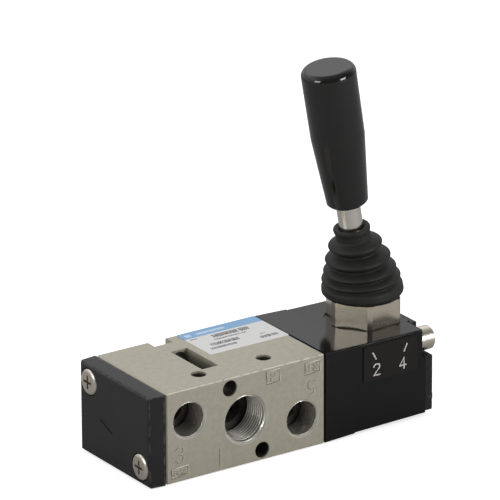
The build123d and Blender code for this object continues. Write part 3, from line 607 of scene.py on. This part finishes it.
def strokePoints(line, width, height):
    # A bar along a line on a flat face: the line's points moved sideways to a mitre, a low flat top
    # and underside, and closed ends unless the line returns to its start. Its map holds the share of
    # the way down to the right across the bar, which places the painted shade and highlight, and the share across
    # it.
    line = np.array(line, float)
    run = np.diff(line, axis=0)
    run /= np.linalg.norm(run, axis=1)[:, None]
    closed = np.allclose(line[0], line[-1])
    before = np.vstack([run[-1:] if closed else run[:1], run])
    after = np.vstack([run, run[:1] if closed else run[-1:]])
    side = before + after
    side /= np.linalg.norm(side, axis=1)[:, None]
    mitre = np.clip((side * before).sum(1), stroke["mitre"], 1)
    normal = np.stack([-side[:, 1], side[:, 0]], -1) / mitre[:, None]
    if not closed:
        line[0] -= run[0] * width / 2
        line[-1] += run[-1] * width / 2
    across, lift = np.array(stroke["section"]).T * [[1], [height]]
    flat = line[:, None] + across[None, :, None] * width * normal[:, None]
    points = np.dstack([flat, np.broadcast_to(lift, flat.shape[:2])])
    if closed:
        points = points[:-1]
    else:
        ends = [np.broadcast_to(row.mean(0), (1, *row.shape)) for row in (points[0], points[-1])]
        points = np.concatenate([ends[0], points, ends[1]])
    facing = points[..., :2] - points[..., :2].mean(1, keepdims=True)
    facing = facing @ np.array(stroke["downRight"]) / (width * 0.5)
    spots = np.dstack([facing / 2 + 0.5, np.broadcast_to(across + 0.5, points.shape[:2])])
    return points, spots, closed


def markPiece(name, look, origin, right, up, material):
    # all strokes of the marks on one face, joined: glyph, middle, half width, quarter height and turn
    out = np.cross(right, up)
    allPoints, allSpots, allFaces, count = [], [], [], 0
    for glyph, x, z, halfWidth, quarterHeight, turn in look["marks"]:
        for part, line in enumerate(glyphs[glyph]):
            c, s = np.cos(turn), np.sin(turn)
            placed = np.array(line) * (halfWidth, quarterHeight) @ np.array([[c, s], [-s, c]]) + (x, z)
            rise = look["height"] + stroke["layer"] * part
            points, spots, closed = strokePoints(placed, look["stroke"], rise)
            faces = gridFaces(*points.shape[:2], closeRows=closed)
            allPoints.append((origin + (points @ np.array([right, up, out])) * mm).reshape(-1, 3))
            allSpots.append(spots.reshape(-1, 2))
            allFaces.append(faces + count)
            count += len(allPoints[-1])
    return meshFrom(name, np.concatenate(allPoints), np.concatenate(allFaces), material, "valve",
                    smoothShading=False, uv=np.concatenate(allSpots))


frontMarks = {
    "stroke": 0.6, "height": 0.012,
    # middle measured in mm from the body's lower left corner of the front face
    "marks": [("3", 4.1, 7.6, 1.2, 1.05, 0),
              ("frame", 4.1, 2.78, 2.6, 0.62, 0), ("R", 3.0, 2.78, 0.75, 0.34, 0),
              ("2", 5.25, 2.78, 0.75, 0.34, 0),
              ("1", 16.75, 3.9, 1, 1.15, 0),
              ("frame", 33.65, 22.9, 2.1, 0.85, 0), ("P", 33.7, 22.9, 0.85, 0.55, 0),
              ("frame", 46.25, 22.6, 2.35, 0.78, 0), ("R", 47.1, 22.6, 0.72, 0.48, np.pi),
              ("1", 45.2, 22.6, 1, 0.48, 0), ("5", 45.9, 17.2, 1.15, 1.0, np.pi)],
}
backMarks = {
    "stroke": 0.6, "height": 0.012,
    # middle measured in mm from the body's lower left corner of the back face, seen from behind
    "marks": [("2", 16.05, 3.1, 1.1, 0.95, 0), ("4", 33.95, 3.1, 1.1, 0.95, 0)],
}
plateMarks = {
    "stroke": 0.38, "height": 0.012,
    "draft": np.radians(0.7),  # turn of the plate's face about the vertical
    # middle measured in mm from the plate's lower left corner
    "marks": [("2", 4.3, 2.95, 1.0, 0.78, 0), ("4", 12.8, 2.8, 1.0, 0.75, 0),
              ("1", 3.55, 6.95, 1, 0.52, 0.49), ("1", 13.75, 7.15, 1, 0.5, -0.47)],
}


engraving = {
    "color": (0.30, 0.28, 0.23), "roughness": 0.5, "metallic": 0.4, "depth": 0.1 * mm,
    # painted shade, level and painted highlight tones down across a stroke, and the ends of the steps between them
    # and of its walls
    "shaded": (0.17, 0.155, 0.12), "level": (0.36, 0.34, 0.275), "lit": (0.66, 0.64, 0.55),
    "shadedEnds": (0.1, 0.5), "litEnds": (0.5, 0.9), "wallEnds": (0.1, 0.9),
}


def engravedFinish():
    # groove across a stroke: painted shade on its upper left wall and a painted highlight on its lower right wall
    look = engraving
    f = Finish("engraved", look["color"], look["roughness"], look["metallic"])
    wall, share = f.axes("UV")[:2]
    shade = f.blendColor(wall.ramp(*look["shadedEnds"]), look["shaded"], look["level"])
    f.feed("Base Color", f.blendColor(wall.ramp(*look["litEnds"]), shade, look["lit"]))
    f.bump(abs(share * 2 - 1).ramp(*look["wallEnds"]), 1.0, look["depth"])
    return f.material


paint = {
    "color": (0.62, 0.615, 0.60), "rubbed": (0.42, 0.41, 0.40), "fresh": (0.68, 0.675, 0.67),
    "roughness": 0.5, "wear": {"scale": 1200, "detail": 3}, "wearEnds": (0.35, 0.6),
}


def paintFinish():
    # thin worn paint, greyer where it has rubbed off
    f = Finish("palePaint", paint["color"], paint["roughness"])
    wear = f.noise(**paint["wear"])
    f.feed("Base Color", f.blendColor(wear.ramp(*paint["wearEnds"]), paint["rubbed"], paint["fresh"]))
    return f.material


engraved = engravedFinish()
rightward, upward = np.array([1.0, 0, 0]), np.array([0, 0, 1.0])
markPiece("frontMarks", frontMarks, bodyLow, rightward, upward, engraved)
backCorner = np.array([bodyHigh[0], bodyHigh[1], bodyLow[2]])
markPiece("backMarks", backMarks, backCorner, -rightward, upward, engraved)
draft = plateMarks["draft"]
alongPlate = np.array([np.cos(draft), np.sin(draft), 0])
markPiece("plateMarks", plateMarks, plateLow, alongPlate, upward, paintFinish())
print("marks made")

floorLook = {"drop": 0.2 * mm, "half": 3.0, "roughness": 0.9, "grey": 0.45, "white": 0.9,
             "greyGlow": 0.0, "whiteGlow": 1.0, "glowStrength": 0.6}


def whiteFloor():
    # Floor that is white to the camera; mirrors and shading see a plain grey one with the object's shadow.
    look = floorLook
    s, z = look["half"], cadBounds[0][2] - look["drop"]
    mesh = bpy.data.meshes.new("floor")
    mesh.from_pydata([(-s, -s, z), (s, -s, z), (s, s, z), (-s, s, z)], [], [(0, 1, 2, 3)])
    floor = bpy.data.objects.new("floor", mesh)
    bpy.context.collection.objects.link(floor)
    f = Finish("floorWhite", [look["grey"]] * 3, look["roughness"])
    seen = f.add("ShaderNodeLightPath", output="Is Camera Ray")
    f.feed("Base Color", f.blendColor(seen, [look["grey"]] * 3, [look["white"]] * 3))
    f.feed("Emission Color", f.blendColor(seen, [look["greyGlow"]] * 3, [look["whiteGlow"]] * 3))
    f.shader.inputs["Emission Strength"].default_value = look["glowStrength"]
    mesh.materials.append(f.material)


worldLook = {
    "front": 0.16, "back": 0.8, "top": 0.35, "lamp": 1.4,
    # places along the depth and the height of the unit sphere of directions
    "backEnds": (-0.45, 0.35), "lampEnds": (0.0, 0.5), "lampBand": (0.5, 0.75), "lampSoft": 0.12,
    "topEnds": (0.75, 1.0),
}


def studioWorld():
    # World: white to the camera; for shading it rises from dim in front to white behind,
    # is brightest half way up behind, and dims again overhead.
    world = bpy.data.worlds.new("studio")
    bpy.context.scene.world = world
    world.use_nodes = True
    g, look = Graph(world.node_tree), worldLook
    y, z = g.axes("Generated")[1:]
    behind = y.ramp(*look["backEnds"], look["front"], look["back"])
    band = y.ramp(*look["lampEnds"]) * z.between(*look["lampBand"], look["lampSoft"])
    light = behind + band * (look["lamp"] - look["back"])
    overhead = z.ramp(*look["topEnds"])
    light = light * (1 - overhead) + overhead * look["top"]
    seen = g.add("ShaderNodeLightPath", output="Is Camera Ray")
    strength = light * (1 - seen) + seen
    world.node_tree.links.new(strength.socket, world.node_tree.nodes["Background"].inputs["Strength"])
    world.node_tree.nodes["Background"].inputs["Color"].default_value = (1, 1, 1, 1)


lamps = {
    "leftSoftbox": {"watts": 2.9, "size": (0.35, 0.35), "place": (-0.84, -0.05, 0.40)},
    "rightSoftbox": {"watts": 5.0, "size": (0.35, 0.35), "place": (0.38, -0.80, 0.32)},
}
lampAim = Vector((0.02, 0, 0.03))


def addLamp(name, look):
    # rectangular lamp at its place, its face turned to the point the lamps aim at
    light = bpy.data.lights.new(name, "AREA")
    light.energy, light.shape = look["watts"], "RECTANGLE"
    light.size, light.size_y = look["size"]
    lamp = bpy.data.objects.new(name, light)
    place = Vector(look["place"])
    turn = (lampAim - place).to_track_quat("-Z", "Y").to_matrix().to_4x4()
    lamp.matrix_world = Matrix.Translation(place) @ turn
    bpy.context.collection.objects.link(lamp)


camera = {"azimuth": -34.04, "elevation": 20.85, "roll": -0.23, "distance": 1.596, "lens": 432.0,
          "sensor": 36.0, "aim": (0.01756, 0, 0.01277), "right": -0.00417, "up": 0.03598,
          "near": 0.1, "far": 20}


def studioCamera():
    # Camera at a distance along its line of sight from the aim point, moved sideways and up the view.
    a, e, roll = (np.radians(camera[key]) for key in ("azimuth", "elevation", "roll"))
    back = np.array([np.sin(a) * np.cos(e), -np.cos(a) * np.cos(e), np.sin(e)])
    level = np.array([np.cos(a), np.sin(a), 0])
    steep = np.cross(back, level)
    right = level * np.cos(roll) + steep * np.sin(roll)
    up = steep * np.cos(roll) - level * np.sin(roll)
    place = np.array(camera["aim"]) + back * camera["distance"]
    place = place + right * camera["right"] + up * camera["up"]
    data = bpy.data.cameras.new("camera")
    data.lens, data.sensor_width = camera["lens"], camera["sensor"]
    data.clip_start, data.clip_end = camera["near"], camera["far"]
    eye = bpy.data.objects.new("camera", data)
    eye.matrix_world = Matrix([[*row] for row in zip(right, up, back, place)] + [[0, 0, 0, 1]])
    bpy.context.collection.objects.link(eye)
    bpy.context.scene.camera = eye


whiteFloor()
studioWorld()
for name, look in lamps.items():
    addLamp(name, look)
studioCamera()
bpy.context.scene.view_settings.view_transform = "Standard"
print("studio and camera set")
